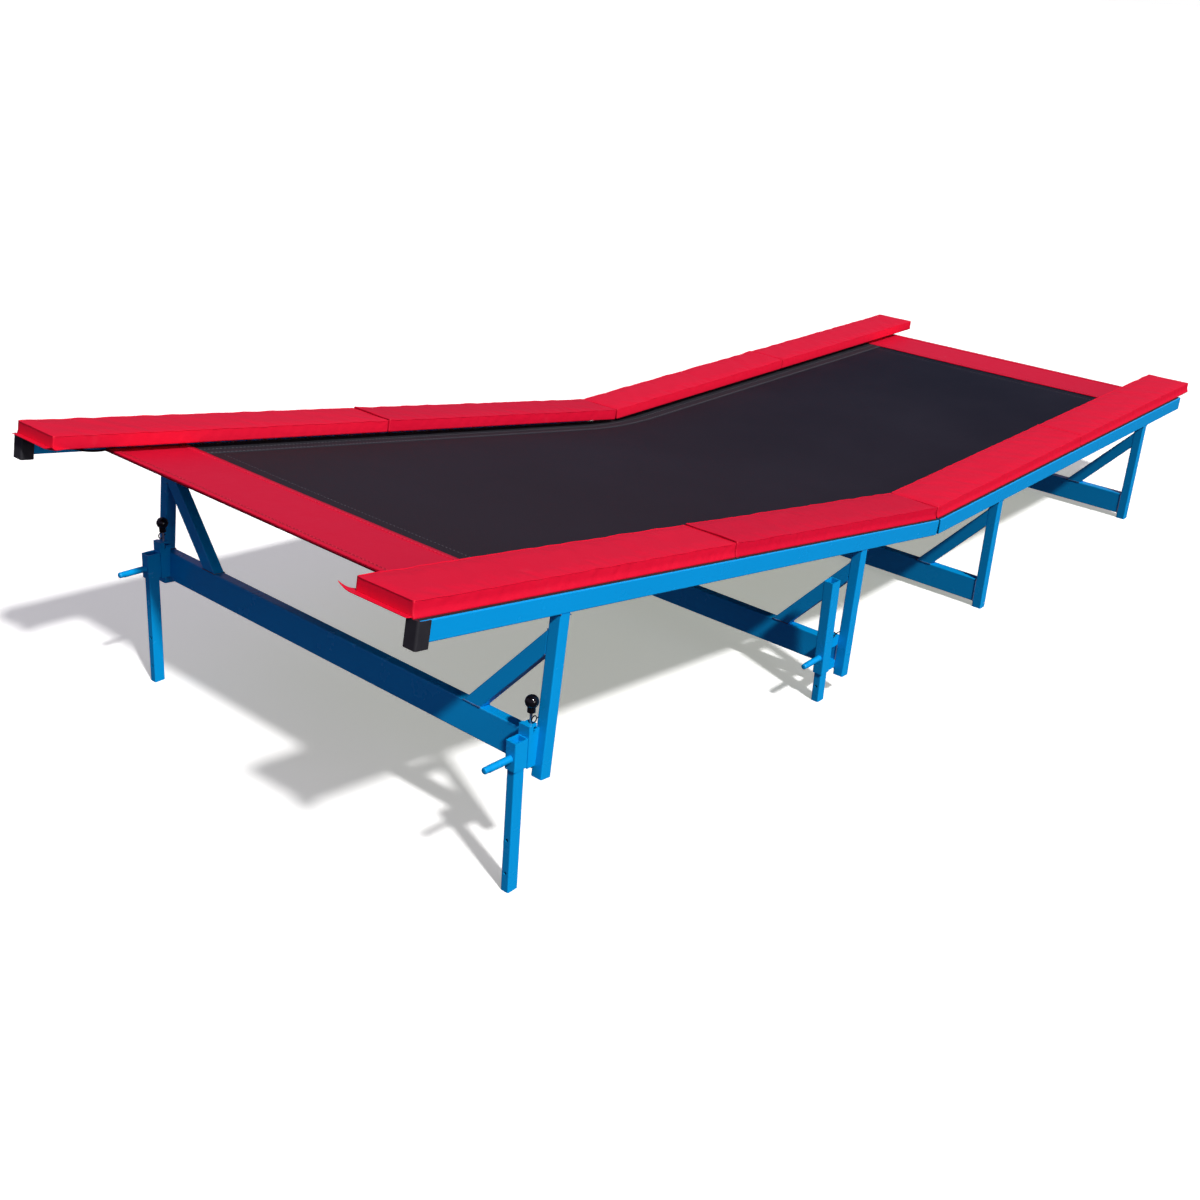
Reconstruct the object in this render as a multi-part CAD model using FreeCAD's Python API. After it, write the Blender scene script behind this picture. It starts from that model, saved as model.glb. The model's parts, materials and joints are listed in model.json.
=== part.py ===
import FreeCAD, Part
import math
import os

# Two-section sprung tumbling bed: a ramp section hinged to a level section, four cross trestles,
# a woven bed hung on springs between the side rails, and padded covers along both sides.
# Millimetres. +Z up, +X from the ramp towards the level end, the near side is -Y.
# The model is built with the fold line at x = 0 and moved so that its box is centred at the end.

os.makedirs("parts", exist_ok=True)
Vec = FreeCAD.Vector

# ---------------------------------------------------------------- driving dimensions
overall_width = 1850.0       # outer face to outer face of the side rails
rail_top = 540.0             # height of the level section's rails
ramp_angle = 9.64            # rise of the ramp section, degrees
ramp_rail_length = 2705.0    # from the fold line to the ramp rail's open end
level_rail_length = 2480.0   # from the fold line to the level rail's closed end
fold_gap = 8.0               # each rail end stops this far from the fold line

rail_width = 40.0
rail_height = 60.0
tube_wall = 3.0
tube_corner = 4.0            # outer corner radius of every rectangular tube

leg_size = 40.0
ramp_leg_drop = 495.0        # below the ramp rail's underside
brace_size = 50.0
brace_depth = 40.0
brace_angle = 48.0
brace_foot = 285.0           # from the leg's inner face to the brace's far edge on the beam
beam_height = 100.0
beam_lift = 24.0             # beam underside above the leg's lower end
end_plate = 4.0

# trestles: where the leg's front face meets the rail's underside, and how far the leg leans back
trestle_1_inset, trestle_1_lean = 509.8, 6.4     # along X, behind the ramp rail's end
trestle_2_x, trestle_2_lean = -571.0, 2.5
trestle_3_x = 515.0
trestle_4_inset = 440.0      # from the level rail's end

foot_depth = 40.0            # telescopic foot tube, along X
foot_width = 30.0            # and along Y
foot_wall = 3.0
sleeve_wall = 4.0
foot_play = 1.0              # between foot and sleeve, each side
foot_inset = 33.0            # foot's outer face inside the rail's outer face
foot_hole_r = 5.5
foot_hole_first = 60.0
foot_hole_pitch = 110.0

# outer feet: a datum on the centre line stands in front of the leg's face, above the leg's lower end
foot_1_ahead, foot_1_lean = 106.5, 2.0
foot_1_rise = 86.0
foot_1_above = 30.0          # foot's top above the datum
sleeve_1_below, sleeve_1_above = 42.0, 47.0
# inner feet: upright, heights above the leg's lower end
foot_2_ahead = 96.0
foot_2_rise = 318.0
sleeve_2_rise, sleeve_2_length = 33.0, 361.0
lug_rises = ((27.0, 57.0), (118.0, 158.0))

block_depth = 17.0
block_below, block_above = 48.0, 82.0    # from the outer foot's datum
block_tab = 8.0
channel_wall = 4.0
channel_drop = 14.0          # channel's top below the block's top
rod_r = 4.0
rod_play = 0.1
rod_length = 118.0
rod_reach = 32.0             # rod showing between block and collar
collar_r, collar_length = 12.0, 18.0
ball_r = 20.0

plunger_r = 11.0
plunger_length = 82.0
plunger_drop_1 = 52.0        # plunger axis below the sleeve's top
plunger_drop_2 = 298.0
pin_r = 4.9
pin_play = 0.1
spring_bore_r = 8.0
plunger_spring_length = 40.0
pin_collar = 4.0
pin_knob_r = 9.0
pin_tip_gap = 0.5

lug_width = 20.0
clip_r, clip_wire_r = 10.0, 1.8
clip_gap = 2.0               # least gap between a clip and the lock rod

hinge_drop = 30.0            # hinge axis below the rails' top
hinge_pin_r = 7.0
hinge_lug_r = 22.0
hinge_plate = 6.0
hinge_plate_reach = 62.0
hinge_play = 0.05            # radial, pin in the ramp's lug
side_gap = 0.5

cap_length = 44.0
cap_wall = 3.5
cap_proud = 7.0
cap_hang = 16.0
cap_corner = 7.0

tape_width = 30.0
tape_thick = 2.0
tape_inset = 5.0

pad_width = 205.0
pad_thick = 43.0
pad_inset = 20.0             # pad's outer face inside the rail's outer face
pad_lift = 2.3               # above the rail's top
ramp_pads_past = 7.0         # outer pad's end past the ramp rail's end
level_pads_past = 142.0      # and past the level rail's end
pad_gap = 8.0                # pad end to the fold line
pad_joint = 4.0
flap_thick = 2.5
flap_reach = 30.0
flap_side = 14.0

bed_edge_gap = 117.0         # bed's edge to the rail's inner face
bed_thick = 6.0
bed_drop = 24.0              # bed's mid-plane below the rails' top
bed_fold_gap = 2.0
ramp_bed_short = 215.0       # bed's end inside the ramp rail's end
ramp_band = 295.0
level_bed_past = 32.0        # bed's end past the level rail's end
level_band = 300.0
webbing_width = 120.0
webbing_thick = 2.0

spring_count = 37
spring_first = 100.0         # first spring from the fold line
spring_last_inset = 40.0     # last spring inside the bed's end
spring_r = 7.5
spring_wire_r = 1.25
spring_hook = 14.0
spring_hole_r = 4.0
ring_wire = 4.0
ring_length = 26.0
ring_base = 34.0

# ---------------------------------------------------------------- derived
half = overall_width / 2
rail_under = rail_top - rail_height
rail_inner = half - rail_width
hinge_z = rail_top - hinge_drop
leg_inner = half - leg_size
sleeve_depth = foot_depth + 2 * (foot_play + sleeve_wall)
sleeve_width = foot_width + 2 * (foot_play + sleeve_wall)
foot_y = -(half - foot_inset - foot_width / 2)
bed_z = rail_top - bed_drop
bed_half_width = rail_inner - bed_edge_gap
ramp_bed_end = ramp_rail_length - ramp_bed_short
level_bed_end = level_rail_length + level_bed_past
ramp_pad_length = (ramp_rail_length + ramp_pads_past - pad_gap - pad_joint) / 2
level_pad_length = (level_rail_length + level_pads_past - pad_gap - pad_joint) / 2
cap_end = ramp_rail_length + cap_proud
trestle_1_x = trestle_1_inset - ramp_rail_length * math.cos(math.radians(ramp_angle))
trestle_4_x = level_rail_length - trestle_4_inset

nodes = {}


# ---------------------------------------------------------------- helpers
def block(x0, x1, y0, y1, z0, z1):
    """A box between two corners, given in any order."""
    low = Vec(min(x0, x1), min(y0, y1), min(z0, z1))
    return Part.makeBox(abs(x1 - x0), abs(y1 - y0), abs(z1 - z0), low)


def rounded(shape, axis, radius):
    """A bar with the four edges that run along one axis ("X", "Y" or "Z") rounded."""
    others = [a for a in "XYZ" if a != axis]
    long_edges = [e for e in shape.Edges
                  if all(getattr(e.BoundBox, a + "Length") < 0.01 for a in others)]
    return shape.makeFillet(radius, long_edges)


def hollow(x, y, z, axis, wall, closed=0.0):
    """Rectangular tube along one axis. x, y and z are its (low, high) extents.
    With closed, the low end has a plate of that thickness."""
    outer = rounded(block(*x, *y, *z), axis, tube_corner)
    spans = {"X": [min(x), max(x)], "Y": [min(y), max(y)], "Z": [min(z), max(z)]}
    for name, span in spans.items():
        if name == axis:
            span[0] += closed if closed else -1
            span[1] += 1
        else:
            span[0] += wall
            span[1] -= wall
    bore = rounded(block(*spans["X"], *spans["Y"], *spans["Z"]), axis, max(tube_corner - wall, 0.5))
    return outer.cut(bore)


def rod(radius, start, end):
    """A round bar between two points."""
    along = end.sub(start)
    return Part.makeCylinder(radius, along.Length, start, along)


def far(shape):
    """The far-side twin of a near-side piece."""
    return shape.mirror(Vec(0, 0, 0), Vec(0, 1, 0))


def both(shapes):
    """Near-side pieces with their far-side twins."""
    return shapes + [far(s) for s in shapes]


def ramped(shape):
    """A piece modelled level, swung up about the fold hinge."""
    out = shape.copy()
    out.rotate(Vec(0, 0, hinge_z), Vec(0, 1, 0), ramp_angle)
    return out


def leaned(shape, x, z, lean):
    """A piece modelled upright at x = 0, z = 0, leaned back and moved to (x, z)."""
    out = shape.copy()
    out.rotate(Vec(0, 0, 0), Vec(0, 1, 0), lean)
    out.translate(Vec(x, 0, z))
    return out


def keep(name, shapes):
    """Store one node, made of one or more separate solids."""
    nodes[name] = shapes if isinstance(shapes, list) else [shapes]


# ---------------------------------------------------------------- side rails
def spring_places(bed_end):
    """Distances from the fold line of one rail's springs."""
    step = (bed_end - spring_last_inset - spring_first) / (spring_count - 1)
    return [spring_first + i * step for i in range(spring_count)]


def rail(direction, length, bed_end):
    """Near rail, level, with a hole in its inner wall for each spring."""
    tube = hollow((direction * fold_gap, direction * length), (-half, -rail_inner),
                  (rail_under, rail_top), "X", tube_wall)
    inner_face = -rail_inner
    holes = [rod(spring_hole_r, Vec(direction * s, inner_face - tube_wall - 1, bed_z),
                 Vec(direction * s, inner_face + 1, bed_z)) for s in spring_places(bed_end)]
    return tube.cut(Part.makeCompound(holes))


ramp_rail = ramped(rail(-1, ramp_rail_length, ramp_bed_end))
level_rail = rail(1, level_rail_length, level_bed_end)
keep("ramp_rail_near", ramp_rail)
keep("ramp_rail_far", far(ramp_rail))
keep("level_rail_near", level_rail)
keep("level_rail_far", far(level_rail))


def end_cap():
    """Rubber cap pushed over the ramp rail's open end, deeper below than above."""
    x0 = -(cap_end - cap_length)
    body = block(-cap_end, x0, -half - cap_wall, -rail_inner + cap_wall,
                 rail_under - cap_hang, rail_top + tape_thick)
    upright = [e for e in body.Edges if abs(e.BoundBox.ZLength - body.BoundBox.ZLength) < 0.1]
    front = [e for e in upright if e.BoundBox.XMax < x0 - 1]
    body = body.makeFillet(cap_corner, front)
    lower = [e for e in body.Edges if e.BoundBox.ZMax < rail_under - cap_hang + 0.1]
    body = body.makeFillet(cap_wall * 0.8, lower)
    pocket = block(-ramp_rail_length, x0 + 1, -half, -rail_inner, rail_under, rail_top)
    over = block(-ramp_rail_length, x0 + 1, -half - cap_wall - 1, -rail_inner + cap_wall + 1,
                 rail_top, rail_top + tape_thick + 1)
    return ramped(body.cut(pocket).cut(over))


def end_plug():
    """Plate welded in the level rail's end, its lower corner chamfered."""
    x0 = level_rail_length
    plate = block(x0, x0 + end_plate * 2, -half, -rail_inner, rail_under, rail_top)
    corner = [e for e in plate.Edges
              if e.BoundBox.ZMax < rail_under + 0.1 and e.BoundBox.XMin > x0 + end_plate]
    return plate.makeChamfer(end_plate * 1.5, corner)


keep("ramp_end_caps", both([end_cap()]))
keep("level_end_plugs", both([end_plug()]))


def hook_tape(direction, length):
    """Strip of hook tape along the rail's top that grips the pads."""
    y0 = -half + tape_inset
    return block(direction * fold_gap, direction * length, y0, y0 + tape_width,
                 rail_top, rail_top + tape_thick)


keep("ramp_hook_tapes", both([ramped(hook_tape(-1, ramp_rail_length))]))
keep("level_hook_tapes", both([hook_tape(1, level_rail_length)]))


# ---------------------------------------------------------------- fold hinge
def hinge_lug(y0, y1):
    """Round eye about the hinge axis."""
    return rod(hinge_lug_r, Vec(0, y0, hinge_z), Vec(0, y1, hinge_z))


def level_hinge_plate():
    y0 = -rail_inner
    y1 = y0 + hinge_plate
    z0, z1 = hinge_z - hinge_lug_r, hinge_z + hinge_lug_r
    plate = block(fold_gap, hinge_plate_reach, y0, y1, z0, z1)
    neck = block(0, fold_gap, y0 + side_gap, y1, z0, z1)
    eye = hinge_lug(y0 + side_gap, y1)
    pin_hole = rod(hinge_pin_r, Vec(0, y0 - 1, hinge_z), Vec(0, y1 + 1, hinge_z))
    return plate.fuse([neck, eye]).removeSplitter().cut(pin_hole)


def ramp_hinge_plate():
    y0 = -rail_inner + hinge_plate + side_gap
    y1 = y0 + hinge_plate
    z0, z1 = hinge_z - hinge_lug_r, hinge_z + hinge_lug_r
    start = hinge_lug_r + 2 * side_gap
    arm = block(-hinge_plate_reach, 0, y0, y1, z0, z1)
    packing = block(-hinge_plate_reach, -start, -rail_inner, y0, z0, z1)
    eye = hinge_lug(y0, y1)
    hole = rod(hinge_pin_r + hinge_play, Vec(0, y0 - 1, hinge_z), Vec(0, y1 + 1, hinge_z))
    return ramped(arm.fuse([packing, eye]).removeSplitter().cut(hole))


def hinge_nut(y0):
    """Flanged hexagon nut on the pin's inner end."""
    flange = rod(hinge_pin_r * 2, Vec(0, y0, hinge_z), Vec(0, y0 + 2, hinge_z))
    hexagon = Part.makePolygon([Vec(hinge_pin_r * 1.75 * math.cos(math.radians(60 * i)), y0 + 2,
                                    hinge_z + hinge_pin_r * 1.75 * math.sin(math.radians(60 * i)))
                                for i in range(7)])
    nut = Part.Face(hexagon).extrude(Vec(0, hinge_pin_r * 1.4, 0))
    hole = rod(hinge_pin_r, Vec(0, y0 - 1, hinge_z), Vec(0, y0 + hinge_pin_r * 3, hinge_z))
    return flange.fuse(nut).removeSplitter().cut(hole)


nut_y = -rail_inner + 2 * hinge_plate + 2 * side_gap
hinge_pin = rod(hinge_pin_r, Vec(0, -rail_inner + side_gap, hinge_z),
                Vec(0, nut_y + 2 + hinge_pin_r * 1.6, hinge_z))
keep("level_hinge_plates", both([level_hinge_plate()]))
keep("ramp_hinge_plates", both([ramp_hinge_plate()]))
keep("hinge_pins", both([hinge_pin]))
keep("hinge_nuts", both([hinge_nut(nut_y)]))


# ---------------------------------------------------------------- cross trestles
def trestle(name, x, lean, drop, rail_bottom_z, trim):
    """Two legs, the cross beam and two braces. The legs' tops are cut to the rail's underside."""
    spare = 2 * leg_size * math.tan(math.radians(ramp_angle)) + 2
    bottom = -drop
    leg = hollow((0, leg_size), (-half, -leg_inner), (bottom, spare), "Z", tube_wall, end_plate)
    beam_bottom = bottom + beam_lift
    beam_top = beam_bottom + beam_height
    beam = hollow((0, leg_size), (-leg_inner, leg_inner), (beam_bottom, beam_top), "Y", tube_wall)
    long = 2 * brace_foot
    start = Vec(0, -leg_inner + brace_foot, beam_top)
    bar = hollow((0, brace_depth), (-long, long), (-brace_size, 0), "Y", tube_wall)
    bar.rotate(Vec(0, 0, 0), Vec(1, 0, 0), -brace_angle)
    bar.translate(start)
    region = block(0, brace_depth, -leg_inner, 0, beam_top, spare)
    brace = bar.common(region)
    place = dict(x=x, z=rail_bottom_z, lean=lean)
    leg = leaned(leg, **place).cut(trim)
    keep(name + "_legs", both([leg]))
    keep(name + "_beam", leaned(beam, **place))
    keep(name + "_braces", both([leaned(brace, **place)]))


above_level = block(0, 4000, -half - 1, half + 1, rail_under, rail_under + 400)
above_ramp = ramped(block(-4000, 0, -half - 1, half + 1, rail_under, rail_under + 400))


def ramp_underside(x):
    """Height of the ramp rail's underside at a given x."""
    lift = hinge_drop - rail_height
    angle = math.radians(ramp_angle)
    return hinge_z + lift / math.cos(angle) - x * math.tan(angle)


def ramp_leg_bottom(x, lean):
    """Height of a ramp leg's lower end, at its front face."""
    return ramp_underside(x) - ramp_leg_drop * math.cos(math.radians(lean))


trestle("trestle_1", trestle_1_x, trestle_1_lean, ramp_leg_drop, ramp_underside(trestle_1_x), above_ramp)
trestle("trestle_2", trestle_2_x, trestle_2_lean, ramp_leg_drop, ramp_underside(trestle_2_x), above_ramp)
trestle("trestle_3", trestle_3_x, 0.0, rail_under, rail_under, above_level)
trestle("trestle_4", trestle_4_x, 0.0, rail_under, rail_under, above_level)


# ---------------------------------------------------------------- telescopic feet
def foot(length, bottom, holes):
    """Near foot tube about x = 0, y = foot_y. Its closed end is later cut level with the floor."""
    hx, hy = foot_depth / 2, foot_width / 2
    tube = hollow((-hx, hx), (foot_y - hy, foot_y + hy), (bottom - end_plate, bottom + length),
                  "Z", foot_wall, end_plate * 2.5)
    for z in holes:
        hole = rod(foot_hole_r, Vec(-hx - 1, foot_y, bottom + z), Vec(-hx + foot_wall + 1, foot_y, bottom + z))
        tube = tube.cut(hole)
    return tube


def sleeve(bottom, top, plunger_z):
    """Near sleeve about the same centre line, with the plunger's hole in its front wall."""
    hx, hy = sleeve_depth / 2, sleeve_width / 2
    tube = hollow((-hx, hx), (foot_y - hy, foot_y + hy), (bottom, top), "Z", sleeve_wall)
    hole = rod(pin_r + pin_play, Vec(-hx - 1, foot_y, plunger_z),
               Vec(-hx + sleeve_wall + 1, foot_y, plunger_z))
    return tube.cut(hole)


def plunger(z):
    """Housing, sprung pin and spring of one index plunger on the sleeve's front face."""
    face = -sleeve_depth / 2
    tip = -foot_depth / 2 - pin_tip_gap
    mouth = face - plunger_length
    spring_in = face - end_plate * 2
    spring_out = spring_in - pin_collar - plunger_spring_length

    def bar(radius, x0, x1):
        return rod(radius, Vec(x0, foot_y, z), Vec(x1, foot_y, z))

    housing = bar(plunger_r, face, mouth)
    housing = housing.cut(bar(pin_r + pin_play, face + 1, mouth - 1))
    housing = housing.cut(bar(spring_bore_r, spring_in, spring_out))
    pin = bar(pin_r, tip, mouth - pin_knob_r)
    pin = pin.fuse(bar(spring_bore_r - 2 * pin_play, spring_in, spring_in - pin_collar))
    knob = Part.makeSphere(pin_knob_r, Vec(mouth - pin_knob_r - 1, foot_y, z), Vec(1, 0, 0))
    pin = pin.fuse(knob)
    coil = bar(spring_bore_r - 2 * pin_play, spring_in - pin_collar, spring_out)
    coil = coil.cut(bar(pin_r + 2 * pin_play, spring_in, spring_out - 1))
    return housing, pin, coil


floor = block(-4000, 4000, -half - 1, half + 1, -200, 0)

# outer feet: leaning slightly, on the ramp's first trestle
foot_1_z = ramp_leg_bottom(trestle_1_x, trestle_1_lean) + foot_1_rise
foot_1 = dict(x=trestle_1_x - foot_1_ahead, z=foot_1_z, lean=foot_1_lean)
foot_1_bottom = -foot_1_z
foot_1_length = foot_1_z + foot_1_above
plunger_1_z = sleeve_1_above - plunger_drop_1
holes_1 = (foot_hole_first, foot_hole_first + foot_hole_pitch, plunger_1_z - foot_1_bottom)
near_foot_1 = leaned(foot(foot_1_length, foot_1_bottom, holes_1), **foot_1).cut(floor)
keep("trestle_1_foot_near", near_foot_1)
keep("trestle_1_foot_far", far(near_foot_1))
sleeve_1 = leaned(sleeve(-sleeve_1_below, sleeve_1_above, plunger_1_z), **foot_1)
keep("trestle_1_sleeves", both([sleeve_1]))
plunger_1 = [leaned(piece, **foot_1) for piece in plunger(plunger_1_z)]

# inner feet: upright, on the ramp's second trestle
leg_2_bottom = ramp_leg_bottom(trestle_2_x, trestle_2_lean)
foot_2_x = trestle_2_x - foot_2_ahead
foot_2 = dict(x=foot_2_x, z=0.0, lean=0.0)
foot_2_length = leg_2_bottom + foot_2_rise
sleeve_2_bottom = leg_2_bottom + sleeve_2_rise
sleeve_2_top = sleeve_2_bottom + sleeve_2_length
plunger_2_z = sleeve_2_top - plunger_drop_2
holes_2 = (foot_hole_first, plunger_2_z, plunger_2_z + foot_hole_pitch)
near_foot_2 = leaned(foot(foot_2_length, 0.0, holes_2), **foot_2).cut(floor)
keep("trestle_2_foot_near", near_foot_2)
keep("trestle_2_foot_far", far(near_foot_2))
keep("trestle_2_sleeves", both([leaned(sleeve(sleeve_2_bottom, sleeve_2_top, plunger_2_z), **foot_2)]))
plunger_2 = [leaned(piece, **foot_2) for piece in plunger(plunger_2_z)]

keep("plunger_housings", both([plunger_1[0], plunger_2[0]]))
keep("plunger_springs", both([plunger_1[2], plunger_2[2]]))
for number, piece in ((1, plunger_1[1]), (2, plunger_2[1])):
    keep("plunger_pin_%d_near" % number, piece)
    keep("plunger_pin_%d_far" % number, far(piece))


# ---------------------------------------------------------------- foot brackets
def bracket_region(x_top, z_top, lean):
    """Everything in front of a leaning leg's front face."""
    big = block(-600, 0, -half, 0, -1200, 400)
    return leaned(big, x_top, z_top, lean)


sleeve_y0 = foot_y - sleeve_width / 2
sleeve_y1 = foot_y + sleeve_width / 2
region_1 = bracket_region(trestle_1_x, ramp_underside(trestle_1_x), trestle_1_lean)
region_2 = bracket_region(trestle_2_x, ramp_underside(trestle_2_x), trestle_2_lean)


def lock_block_and_channel():
    """Tongue on the sleeve's back, and the channel on the leg that it drops into."""
    lo, hi = -block_below, block_above
    back = sleeve_depth / 2
    rod_x = back + block_depth + channel_wall + rod_r + 1
    tongue = block(back, back + block_depth, sleeve_y0, sleeve_y1, lo, hi)
    tab = block(back, rod_x + 2 * rod_r, sleeve_y0 + channel_wall, sleeve_y1 - channel_wall, hi - block_tab, hi)
    bore = rod(rod_r + rod_play, Vec(rod_x, foot_y, lo - 1), Vec(rod_x, foot_y, hi + 1))
    tongue = tongue.fuse(tab).removeSplitter().cut(bore)
    reach = back + block_depth + 2 * leg_size
    top = hi - channel_drop
    outer = block(back + block_depth, reach, sleeve_y0, sleeve_y1, lo, top)
    hollow = block(back + block_depth - 1, rod_x + 3 * rod_r, sleeve_y0 + channel_wall,
                   sleeve_y1 - channel_wall, lo - 1, top + 1)
    channel = outer.cut(hollow)
    shoulder = block(back, back + block_depth + 2 * channel_wall, sleeve_y0 - 1, sleeve_y1 + 1,
                     top - 3 * channel_wall, top + 1)
    shoulder.rotate(Vec(back + block_depth, 0, top), Vec(0, 1, 0), 35)
    channel = leaned(channel.cut(shoulder), **foot_1).common(region_1)
    return leaned(tongue, **foot_1), channel, rod_x, hi


lock_block, channel, rod_x, block_hi = lock_block_and_channel()
keep("lock_blocks", both([lock_block]))
keep("leg_channels", both([channel]))

rod_bottom = block_hi + rod_reach - rod_length
lock_rod = leaned(rod(rod_r, Vec(rod_x, foot_y, rod_bottom),
                      Vec(rod_x, foot_y, block_hi + rod_reach + collar_length / 2)), **foot_1)
collar = rod(collar_r, Vec(rod_x, foot_y, block_hi + rod_reach),
             Vec(rod_x, foot_y, block_hi + rod_reach + collar_length))
ball = Part.makeSphere(ball_r, Vec(rod_x, foot_y, block_hi + rod_reach + collar_length + ball_r * 0.7))
socket = rod(rod_r, Vec(rod_x, foot_y, block_hi), Vec(rod_x, foot_y, block_hi + rod_reach + collar_length / 2))
lock_knob = leaned(collar.fuse(ball).cut(socket), **foot_1)
keep("lock_rod_near", lock_rod)
keep("lock_rod_far", far(lock_rod))
keep("lock_knob_near", lock_knob)
keep("lock_knob_far", far(lock_knob))


def lug(z0, z1):
    """Link between the inner sleeve and its leg."""
    y0 = foot_y - lug_width / 2
    bar = block(foot_2_x + sleeve_depth / 2, foot_2_x + sleeve_depth + 2 * leg_size, y0, y0 + lug_width, z0, z1)
    return bar.common(region_2)


lug_heights = [(leg_2_bottom + z0, leg_2_bottom + z1) for z0, z1 in lug_rises]
keep("sleeve_lugs", both([lug(z0, z1) for z0, z1 in lug_heights]))


def clip(x, z, place, region):
    """Black wire ring on the leg's front face, clear of the lock rod, with a stem that runs back to the leg."""
    y = min(-leg_inner - 2 * clip_wire_r, foot_y - rod_r - clip_gap - clip_wire_r)
    ring = Part.makeTorus(clip_r, clip_wire_r, Vec(x, y, z), Vec(0, 1, 0))
    stem = rod(clip_wire_r, Vec(x + clip_r, y, z), Vec(x + 3 * leg_size, y, z))
    return leaned(ring.fuse(stem), **place).common(region)


clip_rise = clip_r + 2 * clip_wire_r
clip_1 = clip(rod_x, block_hi + clip_rise, foot_1, region_1)
clip_2 = clip(sleeve_depth / 2 + clip_rise, lug_heights[1][1] + clip_rise, foot_2, region_2)
keep("retaining_clips", both([clip_1, clip_2]))


# ---------------------------------------------------------------- side pads
def pad(direction, start, length, flap):
    """Near pad: a foam-filled box on its base cloth, which may run on past the pad's end."""
    x0 = direction * start
    x1 = direction * (start + length)
    y0 = -half + pad_inset
    z0 = rail_top + pad_lift
    body = block(x0, x1, y0, y0 + pad_width, z0, z0 + pad_thick)
    if flap:
        skirt = block(x0, x1 + direction * flap_reach, y0, y0 + pad_width + flap_side, z0, z0 + flap_thick)
        body = body.fuse(skirt).removeSplitter()
    return body


ramp_second = pad_gap + ramp_pad_length + pad_joint
level_second = pad_gap + level_pad_length + pad_joint
ramp_pads = (("ramp_pad_inner", ramped(pad(-1, pad_gap, ramp_pad_length, False))),
             ("ramp_pad_outer", ramped(pad(-1, ramp_second, ramp_pad_length, True))))
level_pads = (("level_pad_inner", pad(1, pad_gap, level_pad_length, False)),
              ("level_pad_outer", pad(1, level_second, level_pad_length, False)))
for name, shape in ramp_pads + level_pads:
    keep(name + "_near", shape)
    keep(name + "_far", far(shape))


# ---------------------------------------------------------------- bed
def bed(direction, end, band):
    """Woven bed of one section with its webbing edges, and the red band at its end."""
    x0 = direction * bed_fold_gap
    x1 = direction * (end - band)
    x2 = direction * end
    z0, z1 = bed_z - bed_thick / 2, bed_z + bed_thick / 2
    inner = bed_half_width - webbing_width
    cloth = block(x0, x1, -bed_half_width, bed_half_width, z0, z1)
    edges = [block(x0, x1, side * inner, side * bed_half_width, z0 - webbing_thick, z1 + webbing_thick)
             for side in (-1, 1)]
    cloth = cloth.fuse(edges).removeSplitter()
    end_band = block(x1, x2, -bed_half_width, bed_half_width, z0, z1)
    return cloth, end_band


def bed_ring(x):
    """Triangular wire ring, its base at the bed's edge and its apex outwards."""
    base_y = -bed_half_width
    apex_y = base_y - ring_length
    half_base = ring_base / 2

    def triangle(inset):
        corners = [Vec(x - half_base + 2 * inset, base_y - inset, bed_z - ring_wire / 2),
                   Vec(x + half_base - 2 * inset, base_y - inset, bed_z - ring_wire / 2),
                   Vec(x, apex_y + 1.6 * inset, bed_z - ring_wire / 2)]
        return Part.Face(Part.makePolygon(corners + corners[:1])).extrude(Vec(0, 0, ring_wire))

    return triangle(0).cut(triangle(ring_wire))


def bed_spring(x):
    """Extension spring from a ring's apex to its hole in the rail."""
    start = -bed_half_width - ring_length - side_gap
    end = -rail_inner - tube_wall
    coil = rod(spring_r, Vec(x, start - spring_hook, bed_z), Vec(x, -rail_inner + spring_hook, bed_z))
    hook = rod(spring_wire_r, Vec(x, start, bed_z), Vec(x, end, bed_z))
    return coil.fuse(hook)


def sprung(direction, bed_end):
    """Rings and springs along the near side of one section."""
    places = [direction * s for s in spring_places(bed_end)]
    return [bed_ring(x) for x in places], [bed_spring(x) for x in places]


ramp_bed, ramp_end_band = bed(-1, ramp_bed_end, ramp_band)
level_bed, level_end_band = bed(1, level_bed_end, level_band)
keep("ramp_bed", ramped(ramp_bed))
keep("ramp_band", ramped(ramp_end_band))
keep("level_bed", level_bed)
keep("level_band", level_end_band)
rings, springs = sprung(-1, ramp_bed_end)
keep("ramp_bed_rings", both([ramped(s) for s in rings]))
keep("ramp_bed_springs", both([ramped(s) for s in springs]))
rings, springs = sprung(1, level_bed_end)
keep("level_bed_rings", both(rings))
keep("level_bed_springs", both(springs))


# ---------------------------------------------------------------- centre along X and write (the feet are at z = 0)
whole = Part.makeCompound([s for shapes in nodes.values() for s in shapes]).BoundBox
shift = Vec(-whole.Center.x, 0, 0)
for name, shapes in nodes.items():
    for shape in shapes:
        shape.translate(shift)
    group = shapes[0] if len(shapes) == 1 else Part.makeCompound(shapes)
    group.exportStep("parts/%s.step" % name)
print("nodes", len(nodes), "fold line x", round(shift.x, 3), "lowest", round(whole.ZMin, 4))
print("box", [round(v, 2) for v in (whole.XLength, whole.YLength, whole.ZLength)])
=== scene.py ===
import json
import math
import bmesh
import bpy
from mathutils import Matrix, Vector, noise


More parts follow.
